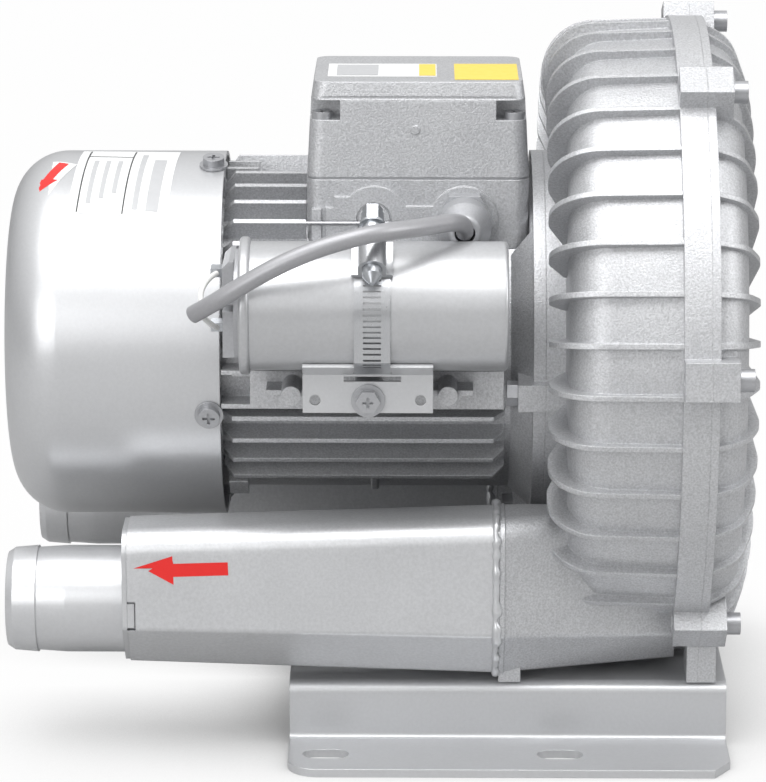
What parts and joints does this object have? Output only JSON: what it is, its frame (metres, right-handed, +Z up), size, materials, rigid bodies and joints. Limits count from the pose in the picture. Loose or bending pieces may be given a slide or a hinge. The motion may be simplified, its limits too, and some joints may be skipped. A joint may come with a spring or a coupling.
{
  "type": "side channel blower",
  "caption": "Single-stage side channel blower with ribbed casing, finned motor, fan cowl, terminal box, side-mounted capacitor, silencers with hose spigots and a slotted base plate.",
  "frame": {"origin": "on the foot plane, at the centre of the four base slots", "axes": "+X along the shaft towards the blower cover, +Z up, the capacitor on the -Y side"},
  "size_m": [0.2714, 0.248, 0.2537],
  "materials": {
    "cast_paint": "silver paint over fine-grained aluminium casting",
    "sheet_paint": "smooth silver paint on pressed sheet",
    "can_paint": "silver paint with fine orange peel on a drawn can",
    "painted_screws": "silver paint over zinc-plated screws",
    "impeller_alloy": "machined cast aluminium",
    "shaft_steel": "ground carbon steel",
    "zinc_steel": "zinc-plated steel",
    "bright_steel": "bright stainless strip",
    "bearing_steel": "ground and polished bearing steel",
    "lamination_steel": "stacked electrical sheet",
    "winding_enamel": "varnished winding bundles",
    "fan_plastic": "moulded glass-filled nylon",
    "black_plastic": "moulded phenolic",
    "black_rubber": "nitrile rubber",
    "gland_plastic": "moulded nylon under silver paint",
    "brass_studs": "turned brass",
    "cord_jacket": "rubber sheath under silver paint",
    "lead_jacket": "pale insulated leads",
    "acoustic_foam": "open-cell foam"
  },
  "bodies": {
    "frame": {"blower_housing": "cast_paint", "blower_cover": "cast_paint", "cover_bolts": "painted_screws", "shaft_seal": "black_rubber", "stator_core": "lamination_steel", "stator_windings": "winding_enamel", "motor_housing": "cast_paint", "motor_bolts": "painted_screws", "rear_end_shield": "cast_paint", "rear_shield_screws": "painted_screws", "wave_washer": "shaft_steel", "fan_cowl": "sheet_paint", "cowl_screws": "painted_screws", "terminal_box_base": "cast_paint", "lid_gasket": "black_rubber", "terminal_box_lid": "cast_paint", "lid_screws": "painted_screws", "terminal_block": "black_plastic", "terminal_studs": "brass_studs", "gland_body": "gland_plastic", "gland_nut": "gland_plastic", "gland_seal": "black_rubber", "capacitor_can": "can_paint", "capacitor_cap": "gland_plastic", "capacitor_terminals": "zinc_steel", "lead_connectors": "zinc_steel", "clamp_band": "bright_steel", "clamp_housing": "bright_steel", "clamp_screw": "zinc_steel", "capacitor_bracket": "sheet_paint", "bracket_screw": "painted_screws", "capacitor_cord": "cord_jacket", "upper_lead": "lead_jacket", "lower_lead": "lead_jacket", "outlet_silencer_shell": "sheet_paint", "inlet_silencer_shell": "sheet_paint", "outlet_spigot": "sheet_paint", "inlet_spigot": "sheet_paint", "silencer_foam": "acoustic_foam", "base_plate": "sheet_paint", "base_screws": "zinc_steel", "front_bearing_outer_ring": "bearing_steel", "rear_bearing_outer_ring": "bearing_steel"},
    "rotor": {"impeller": "impeller_alloy", "impeller_key": "shaft_steel", "impeller_washer": "zinc_steel", "impeller_bolt": "zinc_steel", "impeller_shim": "shaft_steel", "motor_shaft": "shaft_steel", "rotor_core": "lamination_steel", "rotor_end_rings": "impeller_alloy", "front_bearing_inner_ring": "bearing_steel", "rear_bearing_inner_ring": "bearing_steel", "cooling_fan": "fan_plastic", "fan_circlip": "shaft_steel"},
    "front_ball_set": {"front_bearing_balls": "bearing_steel", "front_bearing_cage": "bearing_steel"},
    "rear_ball_set": {"rear_bearing_balls": "bearing_steel", "rear_bearing_cage": "bearing_steel"}
  },
  "joints": [
    {"name": "rotor_spin", "type": "hinge", "parent": "frame", "child": "rotor", "pos_m": [0, 0, 0.1355], "axis": [1, 0, 0], "continuous": true},
    {"name": "front_ball_spin", "type": "hinge", "parent": "frame", "child": "front_ball_set", "pos_m": [0, 0, 0.1355], "axis": [1, 0, 0], "continuous": true},
    {"name": "rear_ball_spin", "type": "hinge", "parent": "frame", "child": "rear_ball_set", "pos_m": [0, 0, 0.1355], "axis": [1, 0, 0], "continuous": true}
  ],
  "couplings": [
    {"joint": "front_ball_spin", "follows": "rotor_spin", "ratio": 0.38175},
    {"joint": "rear_ball_spin", "follows": "rotor_spin", "ratio": 0.38175}
  ]
}
